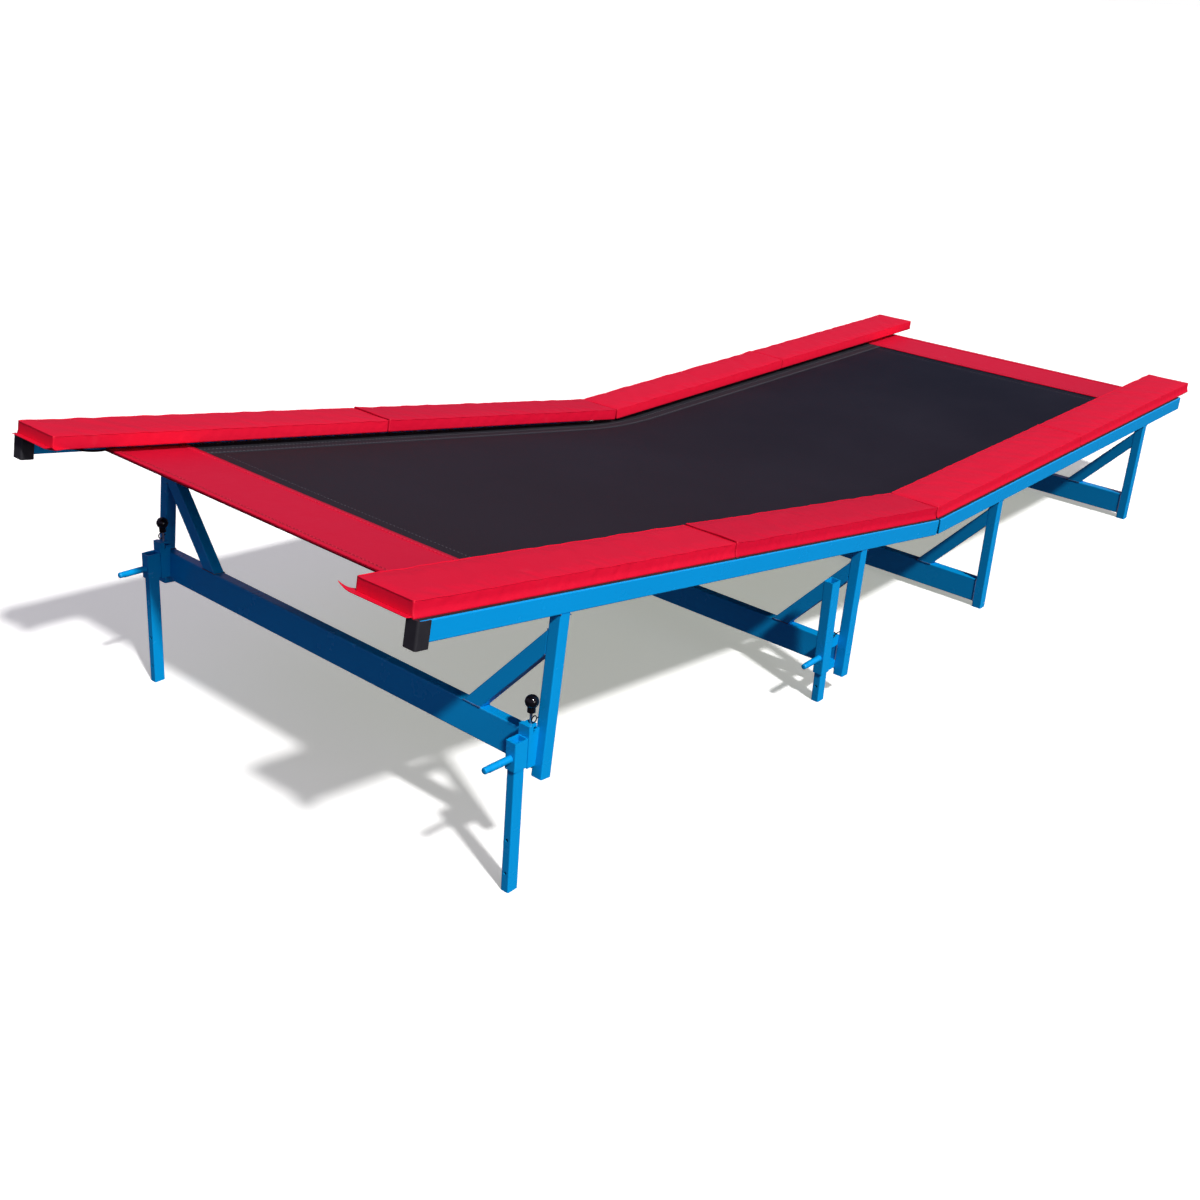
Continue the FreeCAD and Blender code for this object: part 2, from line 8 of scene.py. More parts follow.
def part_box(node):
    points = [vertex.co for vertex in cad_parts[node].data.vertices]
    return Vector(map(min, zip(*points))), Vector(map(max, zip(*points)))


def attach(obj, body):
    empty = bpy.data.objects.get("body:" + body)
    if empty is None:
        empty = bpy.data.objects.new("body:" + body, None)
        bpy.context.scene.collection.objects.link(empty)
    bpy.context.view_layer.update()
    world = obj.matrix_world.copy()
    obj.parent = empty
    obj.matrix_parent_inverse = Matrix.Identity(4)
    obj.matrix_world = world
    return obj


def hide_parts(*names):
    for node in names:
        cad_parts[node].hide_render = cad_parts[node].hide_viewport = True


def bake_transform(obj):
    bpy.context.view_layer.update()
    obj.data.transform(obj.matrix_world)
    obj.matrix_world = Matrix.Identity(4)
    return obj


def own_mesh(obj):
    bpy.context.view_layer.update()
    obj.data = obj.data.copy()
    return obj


# Two-section sprung tumbling bed: the covers, the woven bed, its springs and every finish.
# Metres, in the frame's own axes: +Z up, +X towards the level end, the near side is -Y.

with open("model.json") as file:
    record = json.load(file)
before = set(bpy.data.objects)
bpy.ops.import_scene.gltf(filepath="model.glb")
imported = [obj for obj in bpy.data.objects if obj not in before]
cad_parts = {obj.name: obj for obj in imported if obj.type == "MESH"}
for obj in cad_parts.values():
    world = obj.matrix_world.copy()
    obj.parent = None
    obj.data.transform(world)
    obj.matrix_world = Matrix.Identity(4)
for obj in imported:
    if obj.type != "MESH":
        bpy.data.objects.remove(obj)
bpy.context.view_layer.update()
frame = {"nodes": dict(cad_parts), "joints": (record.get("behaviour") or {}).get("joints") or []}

# ---------------------------------------------------------------- sizes
MM = 0.001
ramp_angle = math.radians(9.64)          # rise of the ramp section
tilt = next(j for j in frame["joints"] if j["name"] == "ramp_tilt")
fold = Vector(tilt["pos_m"])             # middle of the fold hinge
rail_low, rail_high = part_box("level_rail_near")
bed_low, bed_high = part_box("level_bed")
half_width = -rail_low.y
rail_top = rail_high.z
rail_under = rail_low.z
rail_inner_y = -rail_high.y              # the rails' inner faces
bed_half = bed_high.y
bed_z = (bed_low.z + bed_high.z) / 2

pad_inset = 20 * MM                      # pad's outer face inside the rail's outer face
pad_width = 205 * MM
pad_thick = 43 * MM
pad_lift = 2.3 * MM                      # above the rail's top
pad_gap = 8 * MM                         # pad end to the fold line
pad_joint = 4 * MM
ramp_pad_length = 1350 * MM
level_pad_length = 1305 * MM
flap_reach = 28 * MM                     # base cloth past the foam at the ramp's end
flap_side = 20 * MM

ramp_bed_end = 2490 * MM                 # from the fold line to the bed's end
level_bed_end = 2512 * MM
ramp_band = 295 * MM
level_band = 300 * MM
webbing_width = 120 * MM
cloth_thick = 3 * MM
cloth_inset = 4 * MM                     # woven cloth's edge inside the webbing's
webbing_thick = 7 * MM
band_thick = 7.6 * MM
hem_thick = 10.4 * MM
band_lift = 1.0 * MM                     # bands and hems above the cloth's middle

spring_count = 37
spring_first = 100 * MM                  # first spring from the fold line
spring_last_inset = 40 * MM              # last spring inside the bed's end
spring_radius = 7.5 * MM
spring_wire = 1.25 * MM
spring_hook = 14 * MM
ring_length = 26 * MM
ring_base = 34 * MM
ring_inset = 4 * MM                      # ring's base inside the bed's edge
ring_wire = 4 * MM

# From a section's own level layout, with x measured from the fold line, to its place.
level_place = Matrix.Translation((fold.x, 0, 0))
ramp_place = (Matrix.Translation(fold) @ Matrix.Rotation(ramp_angle, 4, "Y")
              @ Matrix.Translation((0, 0, -fold.z)))
sections = {"ramp": (-1, ramp_place, "ramp_section"), "level": (1, level_place, "level_section")}


# ---------------------------------------------------------------- materials
def srgb(code):
    """A '#rrggbb' sRGB colour as a linear colour with alpha."""
    parts = [int(code[i:i + 2], 16) / 255 for i in (1, 3, 5)]
    return [c / 12.92 if c <= 0.04045 else ((c + 0.055) / 1.055) ** 2.4 for c in parts] + [1.0]


def add(owner, kind, values=None, links=None, **settings):
    """Adds a node to a material or the sky: settings are its properties, values its sockets' own,
    links what feeds them."""
    tree = owner.node_tree
    node = tree.nodes.new("ShaderNode" + kind)
    for name, value in settings.items():
        setattr(node, name, value)
    for name, value in (values or {}).items():
        node.inputs[name].default_value = value
    for name, socket in (links or {}).items():
        tree.links.new(socket, node.inputs[name])
    return node


def new_material(name):
    material = bpy.data.materials.new(name)
    material.use_nodes = True
    material.node_tree.nodes.clear()
    return material


def gloss_enamel():
    """Stove enamel, sprayed over welded steel tube: hard gloss, faint orange peel, a few chips."""
    m = new_material("gloss_blue_enamel")
    place = add(m, "TexCoord").outputs["Object"]
    patches = add(m, "TexNoise", {"Scale": 2.5, "Detail": 3.0}, {"Vector": place})
    body = add(m, "Mix", {6: srgb("#029fe6"), 7: srgb("#0298dc")},
               {0: patches.outputs[0]}, data_type="RGBA")
    flecks = add(m, "TexNoise", {"Scale": 45.0, "Detail": 5.0, "Roughness": 0.65}, {"Vector": place})
    chipped = add(m, "MapRange", {"From Min": 0.735, "From Max": 0.75}, {"Value": flecks.outputs[0]})
    colour = add(m, "Mix", {7: srgb("#3a2c26")},
                 {0: chipped.outputs[0], 6: body.outputs[2]}, data_type="RGBA")
    smears = add(m, "TexNoise", {"Scale": 14.0, "Detail": 4.0}, {"Vector": place})
    dull = add(m, "MapRange", {"To Min": 0.16, "To Max": 0.34}, {"Value": smears.outputs[0]})
    peel = add(m, "TexNoise", {"Scale": 240.0, "Detail": 1.0}, {"Vector": place})
    bump = add(m, "Bump", {"Strength": 0.12, "Distance": 0.0004}, {"Height": peel.outputs[0]})
    shader = add(m, "BsdfPrincipled", {"IOR": 1.5, "Specular IOR Level": 0.35, "Coat Weight": 0.2,
                                       "Coat Roughness": 0.08},
                 {"Base Color": colour.outputs[2], "Roughness": dull.outputs[0],
                  "Normal": bump.outputs[0]})
    add(m, "OutputMaterial", links={"Surface": shader.outputs[0]})
    return m


def coated_vinyl(name, fresh, fade_and_painted_reflection, scuffed, scuff_start):
    """PVC-coated polyester, sewn into covers: an embossed cloth grain under a soft sheen."""
    m = new_material(name)
    place = add(m, "TexCoord").outputs["Object"]
    fade = add(m, "TexNoise", {"Scale": 1.6, "Detail": 4.0}, {"Vector": place})
    body = add(m, "Mix", {6: srgb(fresh), 7: srgb(fade_and_painted_reflection)}, {0: fade.outputs[0]}, data_type="RGBA")
    scuffs = add(m, "TexNoise", {"Scale": 9.0, "Detail": 8.0, "Roughness": 0.7}, {"Vector": place})
    worn = add(m, "MapRange", {"From Min": scuff_start, "From Max": scuff_start + 0.16, "To Max": 0.4},
               {"Value": scuffs.outputs[0]})
    colour = add(m, "Mix", {7: srgb(scuffed)},
                 {0: worn.outputs[0], 6: body.outputs[2]}, data_type="RGBA")
    dull = add(m, "MapRange", {"To Min": 0.4, "To Max": 0.58}, {"Value": scuffs.outputs[0]})
    # the polyester's threads are 1 mm apart; drawn at 3 mm so that they show
    grain = add(m, "TexVoronoi", {"Scale": 330.0}, {"Vector": place}, distance="CHEBYCHEV")
    creases = add(m, "TexNoise", {"Scale": 26.0, "Detail": 3.0, "Distortion": 0.6}, {"Vector": place})
    relief = add(m, "Math", {1: 0.12}, {0: grain.outputs[0], 2: creases.outputs[0]},
                 operation="MULTIPLY_ADD")
    bump = add(m, "Bump", {"Strength": 0.3, "Distance": 0.0022}, {"Height": relief.outputs[0]})
    shader = add(m, "BsdfPrincipled", {"IOR": 1.5, "Specular IOR Level": 0.22},
                 {"Base Color": colour.outputs[2], "Roughness": dull.outputs[0],
                  "Normal": bump.outputs[0]})
    add(m, "OutputMaterial", links={"Surface": shader.outputs[0]})
    return m


def woven_nylon():
    """Woven nylon bed cloth, a close plain weave, nearly black, dusty where it is used."""
    m = new_material("black_woven_nylon")
    place = add(m, "UVMap", uv_map="cloth").outputs[0]
    # threads 2 mm apart, drawn at 6 mm so that the weave shows
    turn = 2 * math.pi / (6 * MM)
    warp = add(m, "TexWave", {"Scale": turn / 20, "Detail": 0.0}, {"Vector": place},
               wave_type="BANDS", bands_direction="X")
    weft = add(m, "TexWave", {"Scale": turn / 20, "Detail": 0.0}, {"Vector": place},
               wave_type="BANDS", bands_direction="Y")
    weave = add(m, "Math", links={0: warp.outputs[1], 1: weft.outputs[1]}, operation="MAXIMUM")
    dust = add(m, "TexNoise", {"Scale": 1.3, "Detail": 7.0, "Roughness": 0.62}, {"Vector": place})
    dusty = add(m, "MapRange", {"From Min": 0.42, "From Max": 0.75, "To Max": 0.35},
                {"Value": dust.outputs[0]})
    along = add(m, "SeparateXYZ", links={0: place})
    # painted sheen and reflection: the ramp's end is drawn lighter and warmer as a painted sheen, the
    # level end darker and bluer as a painted sky reflection
    fade_and_painted_reflection = add(m, "MapRange", {"From Min": -2.3, "From Max": 2.3}, {"Value": along.outputs["X"]})
    reflection_graded_ground = add(m, "Mix", {6: srgb("#2c2429"), 7: srgb("#0b1320")},
                 {0: fade_and_painted_reflection.outputs[0]}, data_type="RGBA")
    body = add(m, "Mix", {7: srgb("#2b2a33")},
               {0: dusty.outputs[0], 6: reflection_graded_ground.outputs[2]}, data_type="RGBA")
    between = add(m, "MapRange", {"To Min": 0.72, "To Max": 1.0}, {"Value": weave.outputs[0]})
    colour = add(m, "Mix", {0: 1.0}, {6: body.outputs[2], 7: between.outputs[0]},
                 data_type="RGBA", blend_type="MULTIPLY")
    bump = add(m, "Bump", {"Strength": 0.35, "Distance": 0.0008}, {"Height": weave.outputs[0]})
    shader = add(m, "BsdfPrincipled", {"Roughness": 0.7, "IOR": 1.5, "Specular IOR Level": 0.2},
                 {"Base Color": colour.outputs[2], "Normal": bump.outputs[0]})
    add(m, "OutputMaterial", links={"Surface": shader.outputs[0]})
    return m


def plain(name, low, high, roughness, metallic=0.0, scale=30.0, grain=200.0,
          depth=0.0002, strength=0.2):
    """A finish with two close tones, uneven gloss and a fine grain."""
    m = new_material(name)
    place = add(m, "TexCoord").outputs["Object"]
    cloud = add(m, "TexNoise", {"Scale": scale, "Detail": 5.0}, {"Vector": place})
    body = add(m, "Mix", {6: srgb(low), 7: srgb(high)}, {0: cloud.outputs[0]}, data_type="RGBA")
    dull = add(m, "MapRange", {"To Min": roughness[0], "To Max": roughness[1]},
               {"Value": cloud.outputs[0]})
    fine = add(m, "TexNoise", {"Scale": grain, "Detail": 2.0}, {"Vector": place})
    bump = add(m, "Bump", {"Strength": strength, "Distance": depth}, {"Height": fine.outputs[0]})
    shader = add(m, "BsdfPrincipled", {"Metallic": metallic},
                 {"Base Color": body.outputs[2], "Roughness": dull.outputs[0],
                  "Normal": bump.outputs[0]})
    add(m, "OutputMaterial", links={"Surface": shader.outputs[0]})
    return m


enamel = gloss_enamel()
# the same cloth three ways: fresh covers, an older pair of covers, and the trodden end bands
vinyl = coated_vinyl("red_coated_vinyl", "#e0082f", "#e21535", "#e0354a", 0.62)
older_vinyl = coated_vinyl("red_coated_vinyl_older", "#d3052c", "#da0f33", "#db3048", 0.6)
trodden_vinyl = coated_vinyl("red_coated_vinyl_trodden", "#cf0c30", "#d61636", "#e9a3aa", 0.67)
bed_cloth = woven_nylon()
# EPDM end caps, moulded: matt, greying where they are handled
rubber = plain("moulded_black_rubber", "#17171b", "#2a2a30", (0.55, 0.8), scale=18, grain=400)
# nylon hook tape: a dense mat of tiny hooks, so no gloss at all
hooks = plain("nylon_hook_tape", "#101013", "#1d1d22", (0.8, 0.95), scale=60, grain=700,
              depth=0.0008, strength=0.8)
# zinc plate, bright and faintly blue, clouded by handling
zinc = plain("zinc_plated_steel", "#a9adb2", "#c3c6c9", (0.25, 0.45), metallic=1.0,
             scale=40, grain=300)
# phenolic ball knobs, moulded and polished
phenolic = plain("polished_black_phenolic", "#0c0b0e", "#121115", (0.06, 0.14), scale=20,
                 grain=100, depth=0.0001, strength=0.05)
# drawn spring wire, oiled, darker than plate
spring_steel = plain("drawn_spring_wire", "#6f6e6b", "#8b8a86", (0.3, 0.5), metallic=1.0,
                     scale=60, grain=500)
# polyester webbing, folded over the bed's edges and sewn
webbing = plain("black_polyester_webbing", "#17181f", "#21212a", (0.65, 0.85), scale=25,
                grain=450, depth=0.0006, strength=0.5)
# bonded polyester thread, grey on the bed and red on the covers
dark_thread = plain("grey_bonded_thread", "#3f3d43", "#5f5d63", (0.5, 0.7), scale=90, grain=900)
red_thread = plain("red_bonded_thread", "#b90f2b", "#e23a4e", (0.5, 0.7), scale=90, grain=900)
# weld ripples sprayed with the tube's enamel, rust bleeding through where it is thin
weld_paint = plain("rusty_painted_weld", "#0a7fbe", "#4d3022", (0.35, 0.6), scale=22, grain=500)

finishes = {
    "blue_enamel": enamel, "black_rubber": rubber, "hook_tape": hooks, "zinc_steel": zinc,
    "red_vinyl": vinyl, "bed_weave": bed_cloth, "black_plastic": phenolic, "spring_steel": spring_steel}

# the frame's own material carries the name of the node's slot in the record; the index plungers' pins
# are sprayed over with the frame
for name, node in frame["nodes"].items():
    painted_over = name.startswith("plunger_pin")
    for seat in node.material_slots:
        seat.material = enamel if painted_over else finishes[seat.material.name.split(".")[0]]


# ---------------------------------------------------------------- shared making steps
def as_mesh(bm, name):
    """Finished geometry as a mesh."""
    mesh = bpy.data.meshes.new(name)
    bm.to_mesh(mesh)
    bm.free()
    return mesh


def put(name, data):
    """Puts a mesh, light or camera in the scene, at the origin."""
    item = bpy.data.objects.new(name, data)
    bpy.context.scene.collection.objects.link(item)
    return item


def close_piece(bm, name, material):
    """Turns finished geometry into a piece at the origin, smooth, faces outward."""
    bmesh.ops.recalc_face_normals(bm, faces=bm.faces)
    mesh = as_mesh(bm, name)
    piece = put(name, mesh)
    mesh.materials.append(material)
    for face in mesh.polygons:
        face.use_smooth = True
    return piece


def add_copies(bm, mesh, places):
    """Adds one copy of a small mesh at each place."""
    for place in places:
        first = len(bm.verts)
        bm.from_mesh(mesh)
        bm.verts.ensure_lookup_table()
        bmesh.ops.transform(bm, matrix=place, verts=bm.verts[first:])


def bead(bm, line, radius, closed):
    """Adds a round bead, cord or wire along a line of points."""
    curve = bpy.data.curves.new("bead", "CURVE")
    curve.dimensions = "3D"
    curve.bevel_depth = radius
    curve.bevel_resolution = 1
    curve.use_fill_caps = True
    path = curve.splines.new("POLY")
    path.points.add(len(line) - 1)
    for point, place in zip(path.points, line):
        point.co = (*place, 1)
    path.use_cyclic_u = closed
    body = bpy.data.objects.new("bead", curve)
    bm.from_mesh(bpy.data.meshes.new_from_object(body))
    bpy.data.objects.remove(body)


def side_place(section, side):
    """From a near-side, away-from-the-fold layout to one section's near (1) or far (-1) side."""
    direction, place, _ = sections[section]
    return place @ Matrix.Diagonal((direction, side, 1, 1))


# ---------------------------------------------------------------- side pads
cell = 9.5 * MM                          # the cover's mesh spacing
welt_radius = 2.0 * MM                   # a fold of cloth sewn along the top seam
swell = 4 * MM                           # the most that a cover may stand off its foam
seam_weight = 0.9                        # how firmly the top seam is held
cover_ripple = 2.6 * MM                  # height of the slack that the cloth starts with
puff_share = 0.7                         # how much of the simulated puff is kept
rim_reach = 0.5 * MM                     # a point this near an edge belongs to it
flap_tuck = 70 * MM                      # base cloth under the foam, before the free edge
flap_thick = 3.2 * MM
flap_lift = 1.3 * MM                     # base cloth above the pad's underside
# the free edge's rise for each square metre past the end, past the side and past both
curl_past, curl_side, curl_corner = 6.0, 5.0, 7.0
tab_width, tab_reach, tab_thick = 26 * MM, 9 * MM, 1.4 * MM


def cover_box(length):
    """A pad's cover before it is filled: an even box of faces, edges creased, corner at the origin."""
    size = (length, pad_width, pad_thick)
    bm = bmesh.new()
    bmesh.ops.create_cube(bm, size=1, matrix=Matrix.Translation((0.5, 0.5, 0.5)))
    bmesh.ops.scale(bm, vec=size, verts=bm.verts)
    crease = bm.edges.layers.float.new("crease_edge")
    for edge in bm.edges:
        edge[crease] = 0.75
    for axis in range(3):
        along = [e for e in bm.edges if abs(e.verts[0].co[axis] - e.verts[1].co[axis]) > 0.1 * MM]
        bmesh.ops.subdivide_edges(bm, edges=along, cuts=round(size[axis] / cell) - 1,
                                  use_grid_fill=True)
    return bm


def fill_cover(bm, length, seed):
    """Fills a cover with foam: slightly slack cloth, held at its base and its top seams."""
    for v in bm.verts:
        ripple = noise.noise(Vector((v.co.x * 17 + v.co.y * 9, v.co.y * 5, seed * 3.1)))
        v.co.z += v.co.z / pad_thick * ripple * cover_ripple
    mesh = bpy.data.meshes.new("cover_try")
    bm.to_mesh(mesh)
    cover = put("cover_try", mesh)
    scene = bpy.context.scene
    held = cover.vertex_groups.new(name="held")
    for v in bm.verts:
        x, y, z = v.co
        on_rim = min(x, y, length - x, pad_width - y) < rim_reach
        if z < rim_reach:
            held.add([v.index], 1.0, "REPLACE")
        elif on_rim and z > pad_thick - 3 * MM:
            held.add([v.index], seam_weight, "REPLACE")
    modifier = cover.modifiers.new("cover", "CLOTH")
    cloth = modifier.settings
    cloth.quality = 4
    cloth.mass = 0.3
    cloth.tension_stiffness = cloth.compression_stiffness = 40
    cloth.shear_stiffness = 10
    cloth.bending_stiffness = 0.5
    cloth.shrink_min = -0.006
    cloth.use_pressure = True
    cloth.uniform_pressure_force = 1.0
    cloth.vertex_group_mass = "held"
    cloth.effector_weights.gravity = 0
    for number in range(1, 16):
        scene.frame_set(number)
    puffed = cover.evaluated_get(bpy.context.evaluated_depsgraph_get()).to_mesh()
    for v, moved in zip(bm.verts, puffed.vertices):
        push = (moved.co - v.co) * puff_share
        if push.length > swell:
            push *= swell / push.length
        v.co += push
    scene.frame_set(1)
    bpy.data.objects.remove(cover)


def settle(bm, length, end):
    """Keeps the ends flat, lets the lower outer edge sag out over the rail, and pushes an inner pad's
    far end up a little."""
    reach = 16 * MM
    sag = Vector((0, -7 * MM, -1.2 * MM))
    kick, kick_run = 4.5 * MM, 110 * MM
    for v in bm.verts:
        v.co.x = min(max(v.co.x, welt_radius), length - rim_reach)
        if end == "inner":
            near_end = max(0.0, v.co.x - length + kick_run) / kick_run
            v.co.z += kick * near_end ** 2 * v.co.z / pad_thick
        if v.co.y < reach and v.co.z < reach:
            share = (1 - v.co.y / reach) * (1 - v.co.z / reach)
            v.co += sag * share


def top_rim(bm, length):
    """The points of the cover's top seam, in order."""
    rim = [v for v in bm.verts if v.co.z > pad_thick - 2 * MM
           and min(v.co.x, v.co.y, length - v.co.x, pad_width - v.co.y) < rim_reach]
    chain = [min(rim, key=lambda v: v.co.x + v.co.y)]
    rim = set(rim)
    while True:
        beside = [e.other_vert(chain[-1]) for e in chain[-1].link_edges]
        following = [v for v in beside if v in rim and v not in chain[-2:] and v is not chain[0]]
        if len(chain) > 2 and chain[0] in beside:
            return chain
        chain.append(following[0])


def base_flap(bm, length):
    """The base cloth's free edge past the foam: a lip that curls up, longest at its inner corner."""
    flap = bmesh.new()
    bmesh.ops.create_grid(flap, x_segments=14, y_segments=26, size=0.5)
    for v in flap.verts:
        across = v.co.y + 0.5
        out = v.co.x + 0.5
        reach = flap_reach * (0.75 + 0.25 * across ** 2)
        x = length - flap_tuck + out * (flap_tuck + reach)
        y = across * pad_width + across ** 6 * flap_side * out ** 2 * 2.2
        past = max(0.0, x - length)
        side = max(0.0, y - pad_width)
        curl = past ** 2 * curl_past + side ** 2 * curl_side + past * side * curl_corner
        v.co = (x, y, flap_lift + curl)
    bmesh.ops.recalc_face_normals(flap, faces=flap.faces)
    bmesh.ops.solidify(flap, geom=flap.faces[:], thickness=flap_thick)
    bm.from_mesh(as_mesh(flap, "flap"))


def joint_tab(bm, x):
    """A loose corner of the base cloth that peeps out under the pad's outer edge."""
    tab = bmesh.new()
    bmesh.ops.create_grid(tab, x_segments=4, y_segments=3, size=0.5)
    for v in tab.verts:
        out = 0.5 - v.co.y
        taper = 1 - 0.75 * out
        bow = (0.5 - out) * out * tab_reach
        v.co = (x + v.co.x * tab_width * taper, -out * tab_reach, 2.0 * MM + bow)
    bmesh.ops.solidify(tab, geom=tab.faces[:], thickness=tab_thick)
    bm.from_mesh(as_mesh(tab, "tab"))


def side_pad(section, end, start, length, flap, seed):
    """One pad on each side of a section: foam in a sewn cover, over the rail and the springs."""
    for side, side_name in ((1, "near"), (-1, "far")):
        bm = cover_box(length)
        rim = top_rim(bm, length)
        fill_cover(bm, length, seed + side)
        settle(bm, length, end)
        bead(bm, [v.co.copy() for v in rim], welt_radius, True)
        if flap:
            base_flap(bm, length)
        if end == "inner":
            joint_tab(bm, length - 6 * MM)
        bmesh.ops.translate(bm, verts=bm.verts,
                            vec=(start, -half_width + pad_inset, rail_top + pad_lift))
        bmesh.ops.transform(bm, matrix=side_place(section, side), verts=bm.verts)
        node = "%s_pad_%s_%s" % (section, end, side_name)
        tone = older_vinyl if (section, end) == ("ramp", "inner") else vinyl
        piece = close_piece(bm, node + "_cover", tone)
        smooth = piece.modifiers.new("smooth", "SUBSURF")
        smooth.levels = smooth.render_levels = 1
        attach(piece, sections[section][2])
        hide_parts(node)


def all_pads():
    """Two pads to a rail; the ramp's outer pads carry the base flap."""
    for section, length in (("ramp", ramp_pad_length), ("level", level_pad_length)):
        side_pad(section, "inner", pad_gap, length, False, seed=2 if section == "ramp" else 7)
        side_pad(section, "outer", pad_gap + length + pad_joint, length, section == "ramp",
                 seed=12 if section == "ramp" else 17)


# ---------------------------------------------------------------- bed
fold_curve_edge = 200 * MM               # half length of the bed's bend at the fold, at its edges
fold_curve_middle = 330 * MM             # and along its middle, where nothing holds it down
bed_sag = 5 * MM
sag_fade = 500 * MM                      # the sag dies away this far from the bed's ends
hem_width = 26 * MM


def bed_point(x, y, lift):
    """Where a point of the stretched bed lies: x from the fold line (ramp below 0), y across, lift
    above its middle plane. At the fold the cloth bends along a curve, longer in the middle."""
    bend = fold_curve_edge + (fold_curve_middle - fold_curve_edge) * (1 - (y / bed_half) ** 2)
    slope = math.tan(ramp_angle)
    share = y / bed_half
    end = level_bed_end if x > 0 else ramp_bed_end
    sag = bed_sag * (1 - share ** 2) * min(1.0, (end - abs(x)) / sag_fade)
    if abs(x) < bend:
        rise = slope * (bend - x) ** 2 / (4 * bend)
        run = x * (1 if x > 0 else math.cos(ramp_angle))
        return Vector((fold.x + run, y, bed_z + rise + lift - sag))
    place = level_place if x > 0 else ramp_place
    return place @ Vector((x, y, bed_z + lift - sag))


def bed_sheet(name, material, x0, x1, y0, y1, lift, thick, step=25 * MM):
    """A strip of cloth laid in the bed's shape, with a UV map in metres along and across it."""
    bm = bmesh.new()
    along = max(2, round(abs(x1 - x0) / step))
    across = max(2, round(abs(y1 - y0) / step))
    bmesh.ops.create_grid(bm, x_segments=along, y_segments=across, size=0.5)
    cloth = bm.loops.layers.uv.new("cloth")
    for v in bm.verts:
        v.co = (x0 + (v.co.x + 0.5) * (x1 - x0), y0 + (v.co.y + 0.5) * (y1 - y0), 0)
    for face in bm.faces:
        for loop in face.loops:
            loop[cloth].uv = loop.vert.co.xy
    bmesh.ops.solidify(bm, geom=bm.faces[:], thickness=thick)
    middle = sum(v.co.z for v in bm.verts) / len(bm.verts)
    for v in bm.verts:
        x, y, z = v.co
        v.co = bed_point(x, y, lift + z - middle)
    return close_piece(bm, name, material)


def blend_over_fold(piece):
    """The cloth runs from the level section to the ramp, its shape bent between the first rings; here
    its placement is only baked into the mesh, tied to neither section.
    """
    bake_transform(piece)


def stretched_bed():
    """The woven bed, one cloth from end to end, with its webbing edges and red end bands."""
    under_band = 40 * MM
    ramp_end = -(ramp_bed_end - ramp_band) - under_band
    level_end = level_bed_end - level_band + under_band
    bed = bed_sheet("woven_bed", bed_cloth, ramp_end, level_end,
                    -bed_half + cloth_inset, bed_half - cloth_inset, 0, cloth_thick)
    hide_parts("ramp_bed", "level_bed")
    blend_over_fold(bed)
    for side, side_name in ((-1, "near"), (1, "far")):
        edge = bed_sheet("bed_webbing_" + side_name, webbing, ramp_end, level_end,
                         side * (bed_half - webbing_width), side * bed_half, 0, webbing_thick,
                         step=17 * MM)
        blend_over_fold(edge)
    for section, x0, x1 in (("ramp", -ramp_bed_end, -(ramp_bed_end - ramp_band)),
                            ("level", level_bed_end - level_band, level_bed_end)):
        band = bed_sheet(section + "_end_band", trodden_vinyl, x0, x1,
                         -bed_half, bed_half, band_lift, band_thick)
        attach(band, sections[section][2])
        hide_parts(section + "_band")
        for hem_name, near_x, far_x in (("outer", x0, x0 + hem_width), ("inner", x1 - hem_width, x1)):
            hem = bed_sheet("%s_band_%s_hem" % (section, hem_name), trodden_vinyl,
                            near_x, far_x, -bed_half, bed_half, band_lift, hem_thick)
            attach(hem, sections[section][2])


# ---------------------------------------------------------------- springs and rings
def spring_distances(bed_end):
    """Where a section's springs stand, from the fold line, evenly spaced."""
    step = (bed_end - spring_last_inset - spring_first) / (spring_count - 1)
    return [spring_first + i * step for i in range(spring_count)]


def spring_mesh():
    """One extension spring along Y from the ring's apex out to the rail, its axis at the origin."""
    start = -(bed_half + ring_length + 0.5 * MM)
    finish = -rail_inner_y
    coil_start, coil_end = start - spring_hook, finish + spring_hook
    past_ring, into_coil = 3 * MM, 1.5 * MM
    turns, steps = 16, 7
    bm = bmesh.new()
    bmesh.ops.create_circle(bm, cap_ends=False, radius=spring_wire, segments=4)
    bmesh.ops.rotate(bm, cent=(0, 0, 0), matrix=Matrix.Rotation(math.pi / 2, 3, "Y"), verts=bm.verts)
    bmesh.ops.rotate(bm, cent=(0, 0, 0), matrix=Matrix.Rotation(math.pi / 2, 3, "Z"), verts=bm.verts)
    bmesh.ops.translate(bm, vec=(spring_radius - spring_wire, coil_start, 0), verts=bm.verts)
    bmesh.ops.spin(bm, geom=bm.edges[:] + bm.verts[:], cent=(0, 0, 0), axis=(0, 1, 0),
                   dvec=(0, (coil_end - coil_start) / (turns * steps), 0),
                   angle=2 * math.pi * turns, steps=turns * steps)
    for y0, y1 in ((start - past_ring, coil_start + into_coil),
                   (coil_end - into_coil, finish - past_ring)):
        hook = Matrix.Translation((0, (y0 + y1) / 2, 0)) @ Matrix.Rotation(math.pi / 2, 4, "X")
        bmesh.ops.create_cone(bm, cap_ends=True, segments=5, radius1=spring_wire, radius2=spring_wire,
                              depth=abs(y1 - y0), matrix=hook)
    return as_mesh(bm, "spring")


